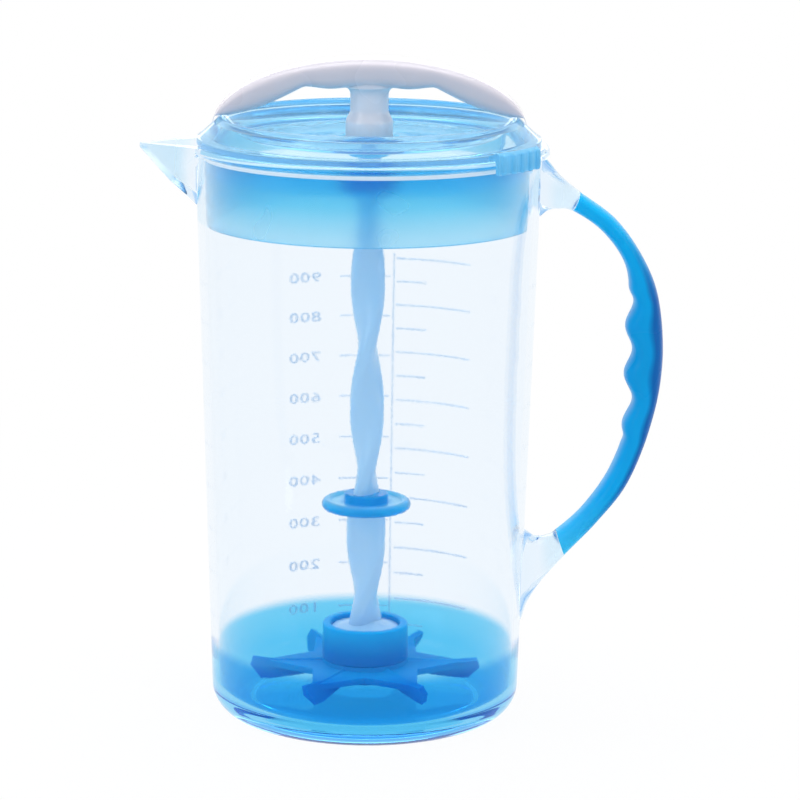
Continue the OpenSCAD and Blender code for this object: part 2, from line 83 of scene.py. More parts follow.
# The carrying handle
HANDLE_REACH, HANDLE_MID_Z = 40.5, 113.0
GRIP_HALF_W, ROOT_HALF_W = 7.6, 7.4
GRIP_SKIN = 2.0
HANDLE_FLATNESS, HANDLE_WAIST = 0.8, 0.81
FINGER_WAVE, FINGER_PITCH, FINGER_PHASE = 1.25, 15.5, 0.284
# Places on the handle, counted in points of its curves
GRIP_FIRST, GRIP_LAST, HANDLE_END = 4, 12, 16
# The lid
FLANGE_R, FLANGE_T = 53.0, 2.2
LID_RIM_R = 46.7
LID_TOP = top_of("lid")
DISH_Z = BODY_H + 2.0
LID_T = 1.9
SKIRT_LOW = bottom_of("lid")
SKIRT_T, SKIRT_CLEAR = 1.8, 0.5
POUR_GAP_ANGLE, POUR_GAP_DROP = 40.0, 6.6
SEAL_TOP, SEAL_H, SEAL_SEAT = BODY_H - 1.8, 2.2, 1.0
TAB_FROM, TAB_SPAN, TAB_RIBS, TAB_RIB_R = -48.0, 21.0, 5, 1.15
TAB_IN_R = TOP_R + BEAD_OUT - LUG_SUNK + LUG_R + 0.4
TAB_OUT_R = TAB_IN_R + 1.6
TAB_TOP = BODY_H + FLANGE_T + 1.4
TAB_LOW = TAB_TOP - 7.2
BOSS_LOW, BOSS_FLARE = BODY_H - 10.8, 7.5
BOSS_R, GUIDE_R = 9.2, 7.4
GUIDE_FLANGE_R, GUIDE_FLANGE_T = 9.4, 1.4
FIT = 0.05
# The pump handle
ARCH_TOP = top_of("pump_handle")
ARCH_HALF_L, ARCH_HALF_W, ARCH_END_HALF_W = 48.3, 9.0, 6.2
ARCH_T = 9.2
ARCH_END_Z, ARCH_END_SHARE = LID_TOP + 0.4, 24 / 24.2
RIPPLE_REACH, RIPPLE_PITCH, RIPPLE_H = 20, 16, 0.7
POST_R, POST_WAIST_R, POST_SHOULDER_R = 7.3, 5.9, 2.4
# The twisted shaft
TWIST_PITCH, WIDE_Z = 80.0, 57.3
SHAFT_W, SHAFT_T = 10.6, 5.8
SHAFT_FLATNESS, SHAFT_SIDES = 0.75, 40
LOW_W, LOW_T = 12.2, 7.2
NECK_R, HEAD_R = 3.4, 4.2
COLLAR_R, COLLAR_TOP = 5.5, top_of("swivel_collar")
SHAFT_TOP, HELIX_TOP = top_of("twisted_shaft"), DISH_Z - 1.2
FOOT_OUT, FOOT_FLARE = 5.0, 7.0
# The splash ring
RING_R, RING_EDGE_R = reach_of("splash_ring"), 1.65
RING_LOW, RING_HIGH = bottom_of("splash_ring"), top_of("splash_ring")
RING_Z = 66.6
RING_HUB_R, RING_FIT = 6.9, 0.24
# The blade
BLADE_LOW = bottom_of("impeller")
BLADE_R, BLADE_ARMS = reach_of("impeller"), 6
ARM_H, ARM_T, ARM_LEAN = 6.6, 1.9, 24.0
ARM_ROOT_Z = BLADE_LOW + 1.6
STAR_IN_R, STAR_OUT_R = 19.0, BLADE_R - 4.5
STAR_LOW, STAR_T = BLADE_LOW + ARM_H - 2.6, 2.0
CUP_LOW, CUP_TOP = bottom_of("blade_hub"), top_of("blade_hub")
CUP_R, CUP_WALL, CUP_FLOOR_T = reach_of("blade_hub"), 2.6, 1.0
PLUG_TOP = CUP_TOP - 1.4


def wall_r(z):
    """Outer radius of the jug's wall at a height."""
    return BASE_R + (TOP_R - BASE_R) * z / BODY_H


def inner_r(z):
    return wall_r(z) - WALL


def skirt_r(z):
    return inner_r(z) - SKIRT_CLEAR


# ------------------------------------------------------------ mesh helpers
def arc(cx, cz, r, start, end, count=8):
    """Points of an arc in a profile, between two angles in degrees."""
    angles = [math.radians(start + (end - start) * i / count) for i in range(count + 1)]
    return [(cx + r * math.cos(a), cz + r * math.sin(a)) for a in angles]


def stretch(first, last, step):
    """Evenly spaced points from first up to, but without, last."""
    (x0, z0), (x1, z1) = first, last
    count = max(1, round(math.hypot(x1 - x0, z1 - z0) / step))
    return [(x0 + (x1 - x0) * i / count, z0 + (z1 - z0) * i / count) for i in range(count)]


def ramp(v, a, b):
    """Smooth step from 0 at a to 1 at b."""
    t = max(0.0, min(1.0, (v - a) / (b - a)))
    return t * t * (3 - 2 * t)


def squash(v, power):
    return math.copysign(abs(v) ** power, v)


def outline_loop(bm, profile):
    """A closed loop of edges in the XZ plane from a profile's (radius, height) points."""
    verts = [bm.verts.new((r, 0, z)) for r, z in profile]
    return verts, [bm.edges.new((a, b)) for a, b in zip(verts, verts[1:] + verts[:1])]


def turn(bm, angle, axis="Z", height=0.0):
    """Turns a bmesh through an angle in degrees, round an axis at a height."""
    bmesh.ops.rotate(bm, verts=bm.verts, cent=(0, 0, height),
                     matrix=Matrix.Rotation(math.radians(angle), 3, axis))


def clean(bm):
    """Merges doubles and turns the faces outwards."""
    bmesh.ops.remove_doubles(bm, verts=bm.verts, dist=1e-4)
    bmesh.ops.recalc_face_normals(bm, faces=bm.faces)
    return bm


def spun(profile, steps=144):
    """A closed profile turned once round Z."""
    bm = bmesh.new()
    verts, edges = outline_loop(bm, profile)
    bmesh.ops.spin(bm, geom=verts + edges, cent=(0, 0, 0), axis=(0, 0, 1), angle=TURN,
                   steps=steps, use_merge=True)
    return clean(bm)


def spun_part(profile, start, sweep, steps):
    """A closed profile turned through part of a circle, with flat ends."""
    bm = bmesh.new()
    verts, edges = outline_loop(bm, profile)
    face = bm.faces.new(verts)
    bmesh.ops.spin(bm, geom=verts + edges + [face], cent=(0, 0, 0), axis=(0, 0, 1),
                   angle=math.radians(sweep), steps=steps)
    turn(bm, start)
    return clean(bm)


def lofted(rings, values=None):
    """A closed tube over rings of equally many points: each ring is extruded from the one before.
    values gives each ring's points a pair of numbers, kept as the attributes along and side."""
    bm = bmesh.new()
    place = bm.verts.layers.int.new("place")
    along = bm.verts.layers.float.new("along")
    side = bm.verts.layers.float.new("side")
    verts = bmesh.ops.create_circle(bm, segments=len(rings[0]), radius=1)["verts"]
    for k, v in enumerate(verts):
        v[place] = k
    edges = bm.edges[:]
    bmesh.ops.contextual_create(bm, geom=edges)
    for n, ring in enumerate(rings):
        if n:
            made = bmesh.ops.extrude_edge_only(bm, edges=edges)["geom"]
            verts = [g for g in made if isinstance(g, bmesh.types.BMVert)]
            edges = [g for g in made if isinstance(g, bmesh.types.BMEdge)]
            edges = [e for e in edges if all(v in verts for v in e.verts)]
        for v in verts:
            v.co = ring[v[place]]
            if values:
                v[along], v[side] = values[n][v[place]]
    bmesh.ops.contextual_create(bm, geom=edges)
    bm.verts.layers.int.remove(place)
    bmesh.ops.recalc_face_normals(bm, faces=bm.faces)
    return bm


def hull_of(points):
    """The closed convex skin round some balls and discs, each given by its own points."""
    bm = bmesh.new()
    for p in points:
        bm.verts.new(p)
    made = bmesh.ops.convex_hull(bm, input=bm.verts)
    spare = {v for key in ("geom_interior", "geom_unused") for v in made[key]
             if isinstance(v, bmesh.types.BMVert)}
    bmesh.ops.delete(bm, geom=list(spare), context="VERTS")
    return clean(bm)


def as_object(bm, name):
    """A mesh object from a bmesh in millimetres, at the origin and in metres."""
    bmesh.ops.scale(bm, verts=bm.verts, vec=(MM, MM, MM))
    mesh = bpy.data.meshes.new(name)
    bm.to_mesh(mesh)
    bm.free()
    piece = bpy.data.objects.new(name, mesh)
    bpy.context.scene.collection.objects.link(piece)
    return piece


def settle(piece):
    """Applies the piece's modifiers to its mesh."""
    graph = bpy.context.evaluated_depsgraph_get()
    mesh = bpy.data.meshes.new_from_object(piece.evaluated_get(graph))
    mesh.name = piece.name
    piece.modifiers.clear()
    piece.data = mesh


def combine_object(piece, other, operation):
    """Joins another object's solid to the piece, or cuts it out, and removes that object."""
    change = piece.modifiers.new("combine", "BOOLEAN")
    change.operation = operation
    change.object = other
    change.solver = "EXACT"
    settle(piece)
    bpy.data.objects.remove(other)


def combine(piece, bm, operation):
    """Joins a second solid to the piece, or cuts it out of the piece."""
    combine_object(piece, as_object(bm, "tool"), operation)


def soften(piece, width, angle):
    """Rounds the piece's sharp edges."""
    bevel = piece.modifiers.new("round edges", "BEVEL")
    bevel.width = width * MM
    bevel.segments = 2
    bevel.limit_method = "ANGLE"
    bevel.angle_limit = math.radians(angle)
    bevel.harden_normals = False
    settle(piece)


def finish_piece(piece, body, material, stands_for=(), sharp=32):
    """Smooth shading with sharp creases, the finish, and the body that carries the piece."""
    piece.data.shade_smooth()
    piece.data.set_sharp_from_angle(angle=math.radians(sharp))
    piece.data.materials.clear()
    piece.data.materials.append(material)
    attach(piece, body)
    if stands_for:
        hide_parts(*stands_for)
    return piece


# --------------------------------------------------------------- materials
def new_tree(name):
    material = bpy.data.materials.new(name)
    material.use_nodes = True
    material.node_tree.nodes.clear()
    return material, material.node_tree.nodes, material.node_tree.links


def feed(socket, value):
    """Sets a socket to a plain value, or links another socket to it."""
    if isinstance(value, bpy.types.NodeSocket):
        socket.id_data.links.new(value, socket)
    else:
        socket.default_value = value


def maths(nodes, operation, *values):
    """A maths node over plain numbers and sockets."""
    made = nodes.new("ShaderNodeMath")
    made.operation = operation
    for socket, value in zip(made.inputs, values):
        feed(socket, value)
    return made.outputs["Value"]


def between(nodes, value, start, end, low=0.0, high=1.0):
    """A number that runs from low to high while a value runs from start to end."""
    made = nodes.new("ShaderNodeMapRange")
    for name, number in (("Value", value), ("From Min", start), ("From Max", end),
                         ("To Min", low), ("To Max", high)):
        feed(made.inputs[name], number)
    return made.outputs["Result"]


def mixed_colours(nodes, share, first, second, blend="MIX"):
    made = nodes.new("ShaderNodeMix")
    made.data_type, made.blend_type = "RGBA", blend
    for name, value in (("Factor", share), ("A", first), ("B", second)):
        feed(made.inputs[name], value)
    return made.outputs["Result"]


def mixed_shaders(nodes, share, first, second):
    made = nodes.new("ShaderNodeMixShader")
    for socket, value in zip(made.inputs, (share, first, second)):
        feed(socket, value)
    return made.outputs["Shader"]


SKIN_INPUTS = {"Wave size": 60.0, "Grain size": 1800.0, "Grain share": 0.2,
               "Rough low": 0.1, "Rough high": 0.2}
SKIN_DEPTH = 0.0004


def moulded_skin_group():
    """Slow waves and fine grain of a moulded skin, as a bump height and a spread of roughness."""
    group = bpy.data.node_groups.new("moulded_skin", "ShaderNodeTree")
    for name, value in SKIN_INPUTS.items():
        socket = group.interface.new_socket(name, in_out="INPUT", socket_type="NodeSocketFloat")
        socket.default_value = value
    group.interface.new_socket("Height", in_out="OUTPUT", socket_type="NodeSocketFloat")
    group.interface.new_socket("Roughness", in_out="OUTPUT", socket_type="NodeSocketFloat")
    nodes, links = group.nodes, group.links
    inside, outside = nodes.new("NodeGroupInput"), nodes.new("NodeGroupOutput")
    where = nodes.new("ShaderNodeTexCoord")
    wave, grain = nodes.new("ShaderNodeTexNoise"), nodes.new("ShaderNodeTexNoise")
    wave.inputs["Detail"].default_value = 1.0
    grain.inputs["Detail"].default_value = 2.0
    for texture, size in ((wave, "Wave size"), (grain, "Grain size")):
        links.new(where.outputs["Object"], texture.inputs["Vector"])
        links.new(inside.outputs[size], texture.inputs["Scale"])
    both = nodes.new("ShaderNodeMix")
    links.new(inside.outputs["Grain share"], both.inputs["Factor"])
    links.new(wave.outputs["Fac"], both.inputs["A"])
    links.new(grain.outputs["Fac"], both.inputs["B"])
    links.new(both.outputs["Result"], outside.inputs["Height"])
    spread = between(nodes, wave.outputs["Fac"], 0.3, 0.7,
                     inside.outputs["Rough low"], inside.outputs["Rough high"])
    links.new(spread, outside.inputs["Roughness"])
    return group


MOULDED_SKIN = moulded_skin_group()


def add_skin(nodes, links, shader, rough, bump):
    """Puts the moulded skin's bump and roughness on a shader."""
    skin = nodes.new("ShaderNodeGroup")
    skin.node_tree = MOULDED_SKIN
    own = {"Rough low": rough[0], "Rough high": rough[1]}
    for name, value in {**SKIN_INPUTS, **own}.items():
        skin.inputs[name].default_value = value
    relief = nodes.new("ShaderNodeBump")
    relief.inputs["Strength"].default_value = bump
    relief.inputs["Distance"].default_value = SKIN_DEPTH
    links.new(skin.outputs["Height"], relief.inputs["Height"])
    links.new(relief.outputs["Normal"], shader.inputs["Normal"])
    links.new(skin.outputs["Roughness"], shader.inputs["Roughness"])


def colour_stops(ramp_node, stops):
    """Sets a colour ramp's stops, given as (place from 0 to 1, colour)."""
    elements = ramp_node.color_ramp.elements
    while len(elements) < len(stops):
        elements.new(0.5)
    for element, (place, colour) in zip(elements, stops):
        element.position = place
        element.color = (*colour, 1)


def colour_by(nodes, links, value, stops):
    """A colour that changes with a length: stops are (length in mm, colour) from low to high."""
    low, high = stops[0][0], stops[-1][0]
    share = between(nodes, value, low * MM, high * MM)
    colours = nodes.new("ShaderNodeValToRGB")
    colour_stops(colours, [((z - low) / (high - low), colour) for z, colour in stops])
    links.new(share, colours.inputs["Fac"])
    return colours.outputs["Color"]


def place_on_object(nodes, links):
    """Height above the foot, and distance from the jug's axis."""
    where = nodes.new("ShaderNodeTexCoord")
    split, flat = nodes.new("ShaderNodeSeparateXYZ"), nodes.new("ShaderNodeCombineXYZ")
    away = nodes.new("ShaderNodeVectorMath")
    away.operation = "LENGTH"
    links.new(where.outputs["Object"], split.inputs["Vector"])
    links.new(split.outputs["X"], flat.inputs["X"])
    links.new(split.outputs["Y"], flat.inputs["Y"])
    links.new(flat.outputs["Vector"], away.inputs[0])
    return split.outputs["Z"], away.outputs["Value"]


PLASTIC_IOR = 1.49
# A grey tint keeps the white background's reflection from veiling what is behind a clear wall
CLEAR_GLOSS_TINT = (0.2, 0.2, 0.2, 1)


def clear_plastic(name, stops, tint, density, see_through, rough, gloss=0.1, milk=0.0,
                  away_stops=None, frost=(), frost_out=()):
    """Clear or tinted plastic. stops colour its skin by height and away_stops by distance from
    the axis, tint and density colour its inside, and see_through is the colour of the light that
    reaches what is behind it. frost and frost_out are (length, length, roughness, roughness)
    between two heights or distances, for a skin that is dull there."""
    material, nodes, links = new_tree(name)
    shader = nodes.new("ShaderNodeBsdfPrincipled")
    shader.inputs["IOR"].default_value = PLASTIC_IOR
    shader.inputs["Specular IOR Level"].default_value = gloss
    shader.inputs["Specular Tint"].default_value = CLEAR_GLOSS_TINT
    shader.inputs["Transmission Weight"].default_value = 1.0 - milk
    add_skin(nodes, links, shader, rough, bump=0.05)
    height, away = place_on_object(nodes, links)
    colour = colour_by(nodes, links, height, stops)
    if away_stops:
        by_distance = colour_by(nodes, links, away, away_stops)
        colour = mixed_colours(nodes, 1.0, colour, by_distance, "MULTIPLY")
    links.new(colour, shader.inputs["Base Color"])
    for length, dullness in ((height, frost), (away, frost_out)):
        if dullness:
            start, end, first, last = dullness
            dull = between(nodes, length, start * MM, end * MM, first, last)
            plain = shader.inputs["Roughness"].links[0].from_socket
            links.new(maths(nodes, "ADD", plain, dull), shader.inputs["Roughness"])
    passing = nodes.new("ShaderNodeBsdfTransparent")
    passing.inputs["Color"].default_value = (*see_through, 1)
    path = nodes.new("ShaderNodeLightPath").outputs
    lamp_rays = maths(nodes, "MAXIMUM", path["Is Shadow Ray"], path["Is Diffuse Ray"])
    # A ray that is caught between two surfaces is let out, or the edges turn dark
    trapped = maths(nodes, "GREATER_THAN", path["Glossy Depth"], 1.5)
    surface = mixed_shaders(nodes, maths(nodes, "MAXIMUM", lamp_rays, trapped),
                            shader.outputs["BSDF"], passing.outputs["BSDF"])
    inside = nodes.new("ShaderNodeVolumeAbsorption")
    inside.inputs["Color"].default_value = (*tint, 1)
    inside.inputs["Density"].default_value = density
    out = nodes.new("ShaderNodeOutputMaterial")
    links.new(surface, out.inputs["Surface"])
    links.new(inside.outputs["Volume"], out.inputs["Volume"])
    return material


def moulded(name, colour, rough, depth=0.0, glow=(1, 1, 1), bump=0.1, gloss=0.5):
    """Solid moulded plastic. colour is plain, or a function that makes a colour's nodes. depth
    is how far light spreads under its skin, in millimetres, and glow how far for each colour."""
    material, nodes, links = new_tree(name)
    shader = nodes.new("ShaderNodeBsdfPrincipled")
    feed(shader.inputs["Base Color"], colour(nodes, links) if callable(colour) else (*colour, 1))
    shader.inputs["IOR"].default_value = PLASTIC_IOR
    shader.inputs["Specular IOR Level"].default_value = gloss
    if depth:
        shader.inputs["Subsurface Weight"].default_value = 0.5
        shader.inputs["Subsurface Radius"].default_value = glow
        shader.inputs["Subsurface Scale"].default_value = depth * MM
    add_skin(nodes, links, shader, rough, bump)
    out = nodes.new("ShaderNodeOutputMaterial")
    links.new(shader.outputs["BSDF"], out.inputs["Surface"])
    return material


def grip_colour(nodes, links):
    """Blue that pales at the grip's ends, with painted shade on the outer side of its middle, which
    faces away from the lamps.
    """
    ends, side = nodes.new("ShaderNodeAttribute"), nodes.new("ShaderNodeAttribute")
    ends.attribute_name, side.attribute_name = "along", "side"
    length, outer_shade, middle = (nodes.new("ShaderNodeValToRGB") for _ in range(3))
    colour_stops(length, ((0.0, (0.006, 0.480, 0.880)), (0.20, (0.000, 0.420, 0.820)),
                          (0.50, (0.000, 0.340, 0.720)), (0.80, (0.001, 0.410, 0.810)),
                          (1.0, (0.040, 0.530, 0.880))))
    links.new(ends.outputs["Fac"], length.inputs["Fac"])
    # Painted shade: the outer side of the grip's middle is darkened towards a deep blue, as where
    # it turns from the light.
    colour_stops(outer_shade, ((0.56, (0, 0, 0)), (0.74, (1, 1, 1))))
    links.new(side.outputs["Fac"], outer_shade.inputs["Fac"])
    colour_stops(middle, ((0.14, (0, 0, 0)), (0.36, (1, 1, 1)), (0.74, (1, 1, 1)),
                          (0.94, (0, 0, 0))))
    links.new(ends.outputs["Fac"], middle.inputs["Fac"])
    share = maths(nodes, "MULTIPLY", outer_shade.outputs["Color"], middle.outputs["Color"])
    return mixed_colours(nodes, share, length.outputs["Color"], (0.0, 0.130, 0.450, 1))


def hub_colour(nodes, links):
    """Blue that deepens from the cup's lip down to the blade."""
    deep = (0.0, 0.215, 0.600)
    stops = ((CUP_LOW - 4, deep), (CUP_LOW + 3, deep), (CUP_TOP, (0.0, 0.400, 0.800)))
    return colour_by(nodes, links, place_on_object(nodes, links)[0], stops)


def pump_colour(nodes, links):
    """Warm white, painted paler on the post than on the arch above it, to lift the shade that falls
    on the post under the arch.
    """
    height, away = place_on_object(nodes, links)
    crown = ARCH_TOP - ARCH_T
    below = between(nodes, height, (crown + 3) * MM, (crown - 1) * MM)
    near = between(nodes, away, (POST_R + 5) * MM, (POST_R + 1) * MM)
    # Painted light: the post below the arch gets the paler colour.
    return mixed_colours(nodes, maths(nodes, "MULTIPLY", below, near),
                         (0.66, 0.63, 0.69, 1), (0.82, 0.80, 0.86, 1))


CLEAR_SKIN = (0.960, 0.980, 1.0)
# Painted light: the jug's base is coloured blue up to about 24 mm for the blue light from the blade
# that scatters into its floor.
PAINTED_BLADE_LIGHT = (0.090, 0.570, 0.900)
CLEAR_JUG = clear_plastic(
    "clear_jug",
    ((0, PAINTED_BLADE_LIGHT), (11.0, PAINTED_BLADE_LIGHT), (21.5, (0.17, 0.64, 0.91)), (24.5, CLEAR_SKIN),
     (BODY_H, CLEAR_SKIN)),
    away_stops=((54.6, (1, 1, 1)), (58.0, (0.86, 0.95, 0.99)), (75.0, (0.86, 0.95, 0.99))),
    tint=(0.50, 0.76, 0.97), density=24.0, see_through=(0.97, 0.985, 1.0), rough=(0.02, 0.05),
    frost_out=(55.0, 60.0, 0.0, 0.25))
LID_LIGHT = (0.70, 0.90, 0.97)
# Painted shade: the skirt's blue deepens towards its top, where the inside under the dish is
# darker, and pales again on the dish and rim.
LID_BLUE = clear_plastic(
    "lid_blue",
    ((SKIRT_LOW, (0.56, 0.86, 0.97)), (168.0, (0.21, 0.71, 0.93)), (BODY_H - 2, (0.12, 0.66, 0.92)),
     (BODY_H + 1, (0.72, 0.91, 0.98)), (LID_TOP, (0.70, 0.90, 0.98))),
    tint=(0.10, 0.62, 0.93), density=45.0, see_through=LID_LIGHT, rough=(0.03, 0.08), gloss=0.5,
    milk=0.06, frost=(174.0, 181.0, 0.20, 0.0), frost_out=(53.0, 55.0, 0.0, 0.25))
TAB_BLUE = clear_plastic(
    "tab_blue", ((BODY_H - 6, (0.17, 0.58, 0.90)), (BODY_H + 4, (0.26, 0.66, 0.92))),
    tint=(0.20, 0.68, 0.93), density=60.0, see_through=LID_LIGHT, rough=(0.12, 0.2), milk=0.55)
GRIP_BLUE = moulded("grip_blue", grip_colour, (0.24, 0.36), depth=1.5, glow=(0.3, 0.9, 1.0),
                    bump=0.25, gloss=0.12)
SOFT_WHITE = moulded("soft_white", pump_colour, (0.20, 0.32), depth=2.0)
SHAFT_WHITE = moulded("shaft_white", (0.42, 0.68, 0.91), (0.18, 0.28), depth=0.7, gloss=0.4,
                      glow=(0.7, 0.9, 1.0))
PLAIN_MARKS = moulded("mark_blue", (0.80, 0.87, 0.95), (0.25, 0.35), gloss=0.2)
SEAL_WHITE = moulded("seal_white", (0.80, 0.88, 0.94), (0.45, 0.60))
GUIDE_BLUE = moulded("guide_blue", (0.01, 0.54, 0.86), (0.25, 0.35), depth=1.5,
                     glow=(0.3, 0.8, 1.0), gloss=0.1)
HUB_BLUE = moulded("hub_blue", hub_colour, (0.25, 0.38), depth=1.5, glow=(0.1, 0.7, 1.0),
                   gloss=0.06)
BLADE_BLUE = moulded("blade_blue", (0.0, 0.285, 0.690), (0.42, 0.55), depth=1.5, gloss=0.06,
                     glow=(0.1, 0.8, 1.0))
RING_BLUE = clear_plastic(
    "ring_blue", ((RING_LOW, (1, 1, 1)), (RING_HIGH, (1, 1, 1))),
    away_stops=((0, (0.0, 0.50, 0.86)), (7.2, (0.0, 0.50, 0.86)), (8.6, (0.40, 0.80, 0.95)),
                (11.6, (0.40, 0.80, 0.95)), (RING_R, (0.0, 0.55, 0.88))),
    tint=(0.05, 0.60, 0.93), density=90.0, see_through=(0.5, 0.85, 0.97), rough=(0.10, 0.18),
    milk=0.35)


# ------------------------------------------------------------------ the jug
def jug_profile():
    """Section of the jug's wall and floor, round from the middle of the foot and back inside."""
    top = BODY_H
    corner_in = CORNER_R - WALL
    outer = (wall_r(CORNER_R) - CORNER_R, CORNER_R)
    inner = (inner_r(FLOOR_Z + corner_in) - corner_in, FLOOR_Z + corner_in)
    bead_low = top - BEAD_H
    bead = (wall_r(top) + BEAD_OUT - BEAD_H / 2, top - BEAD_H / 2)
    return (
        [(0, FOOT_RECESS)]
        + arc(FOOT_IN_R - FOOT_RECESS, FOOT_RECESS / 2, FOOT_RECESS / 2, 90, 20, 4)
        + arc(FOOT_IN_R + 0.6, 0.6, 0.6, 200, 270, 4)
        + arc(*outer, CORNER_R, -90, 0, 14)
        + stretch((wall_r(CORNER_R + 3), CORNER_R + 3), (wall_r(bead_low), bead_low), 4.0)
        + [(wall_r(bead_low), bead_low)]
        + arc(*bead, BEAD_H / 2, -60, 90, 10)
        + arc(inner_r(top) + LIP_R, top - LIP_R, LIP_R, 90, 180, 4)
        + stretch((inner_r(top - 3), top - 3), (inner_r(inner[1]), inner[1]), 4.0)
        + arc(*inner, corner_in, 0, -90, 12)
        + [(0, FLOOR_Z)]
    )


def ball(x, y, z, r):
    """Points of a ball, as input for a hull."""
    count = 20
    levels = [math.radians(-90 + 360 * i / count) for i in range(count // 2 + 1)]
    turns = [TURN * i / count for i in range(count)]
    return [(x + r * math.cos(b) * math.cos(a), y + r * math.cos(b) * math.sin(a),
             z + r * math.sin(b)) for b in levels for a in turns]


def disc(x, y, z, r, height, count=16):
    """Points of a short upright cylinder, as input for a hull."""
    turns = [TURN * i / count for i in range(count)]
    return [(x + r * math.cos(a), y + r * math.sin(a), z + h) for h in (0, height) for a in turns]


def spout_form(inset, lift, tip, through):
    """A V with a bent keel. The corners at the rim lie further into the jug by through."""
    root_x = wall_r(BODY_H - SPOUT_ROOT_DROP)
    rim_x = math.sqrt((TOP_R - WALL / 2) ** 2 - SPOUT_HALF_W ** 2)
    points = []
    for side in (-1, 1):
        points += disc(-rim_x + inset + through, side * (SPOUT_HALF_W - inset), BODY_H - 1, 0.6,
                       1 + lift)
    points += ball(-root_x + 1.7 + inset * 2, 0, BODY_H - SPOUT_ROOT_DROP + inset * 1.7, 1.2)
    points += ball(-root_x - SPOUT_BEND_OUT + 1.2 + inset * 0.9, 0,
                   BODY_H - SPOUT_BEND_DROP + 1 + inset * 1.4, 1.2)
    points += disc(-TOP_R - SPOUT_REACH + tip + inset * 1.8, 0, BODY_H - 1.6, tip, 1.2 + lift, 20)
    return hull_of(points)


def stood(off, z):
    """A point of the handle's curve, off the wall at a height."""
    return Vector((wall_r(z) + off, z))


def hung(off, drop):
    """A point of the handle's curve, off the wall at a distance below the rim."""
    return stood(off, BODY_H - drop)


HANDLE_OUTER = [
    hung(-1.2, 2.2), hung(0.5, 3.2), hung(4.0, 7.5), hung(7.3, 10.9), hung(12.1, 14.6),
    hung(24.0, 23.3), hung(33.2, 35.7), hung(38.4, 48.6), stood(HANDLE_REACH, HANDLE_MID_Z),
    stood(38.2, 94), stood(31.8, 74.6), stood(22.8, 61.6), stood(12.9, 50.5), stood(5.8, 41.9),
    stood(2.0, 35.3), stood(0.2, 29.5), stood(-1.2, 27)]
HANDLE_INNER = [
    hung(-1.2, 23.0), hung(0.3, 22.0), hung(2.5, 20.2), hung(5.6, 19.7), hung(9.9, 20.3),
    hung(19.2, 26.4), hung(26.9, 36.6), hung(29.1, 48.6), stood(HANDLE_REACH - 10.9, HANDLE_MID_Z),
    stood(30.2, 94), stood(25.9, 78.6), stood(18.1, 66.1), stood(10.0, 58.2), stood(6.9, 56.4),
    stood(3.6, 56.2), stood(0.6, 58.0), stood(-1.2, 59.5)]


def spline_at(points, u):
    """Catmull-Rom curve through the points, at a place counted in points."""
    last = len(points) - 1
    k = min(int(u), last - 1)
    t = u - k
    a, b, c, d = points[max(k - 1, 0)], points[k], points[k + 1], points[min(k + 2, last)]
    return 0.5 * (2 * b + (c - a) * t + (2 * a - 5 * b + 4 * c - d) * t ** 2
                  + (3 * b - a - 3 * c + d) * t ** 3)


def handle_half_w(u):
    near, waist = min(u, HANDLE_END - u), ROOT_HALF_W * HANDLE_WAIST
    return (ROOT_HALF_W + (waist - ROOT_HALF_W) * ramp(near, 0.5, GRIP_FIRST)
            + (GRIP_HALF_W - waist) * ramp(near, GRIP_FIRST, 7.5))


def finger_wave(z):
    """How far the grip's inner side stands in at a height."""
    pitches = (z - HANDLE_MID_Z) / FINGER_PITCH
    return (FINGER_WAVE * math.cos(TURN * (pitches + FINGER_PHASE))
            * ramp(pitches, -1.74, -1.38) * (1 - ramp(pitches, 1.25, 1.61)))


def handle_ring(u, inset, waved, sides):
    """One section of the handle, and each point's place towards its outer side, from 0 to 1."""
    outer, inner = spline_at(HANDLE_OUTER, u), spline_at(HANDLE_INNER, u)
    if waved:
        inner = Vector((inner.x - finger_wave(inner.y), inner.y))
    middle, half = (outer + inner) / 2, (outer - inner).length / 2 - inset
    across, width = (outer - inner).normalized(), handle_half_w(u) - inset
    ring, places = [], []
    for k in range(sides):
        angle = TURN * (k + 0.5) / sides
        out = squash(math.cos(angle), HANDLE_FLATNESS)
        point = middle + across * half * out
        ring.append((point.x, width * squash(math.sin(angle), HANDLE_FLATNESS), point.y))
        places.append((out + 1) / 2)
    return ring, places


def handle_stretch(first, last, step, inset, waved=False, sides=32):
    """A tube along part of the handle."""
    count = math.ceil((last - first) / step)
    stations = [first + (last - first) * i / count for i in range(count + 1)]
    made = [handle_ring(u, inset, waved, sides) for u in stations]
    values = [[((u - GRIP_FIRST) / (GRIP_LAST - GRIP_FIRST), s) for s in places]
              for u, (_, places) in zip(stations, made)]
    return lofted([ring for ring, _ in made], values)


def rim_lug():
    """Rounded lug on the rim over the handle's root."""
    centre = (TOP_R + BEAD_OUT - LUG_SUNK, BODY_H - LUG_R)
    return spun_part(arc(*centre, LUG_R, 0, 345, 23), -LUG_HALF_ANGLE, 2 * LUG_HALF_ANGLE, 12)


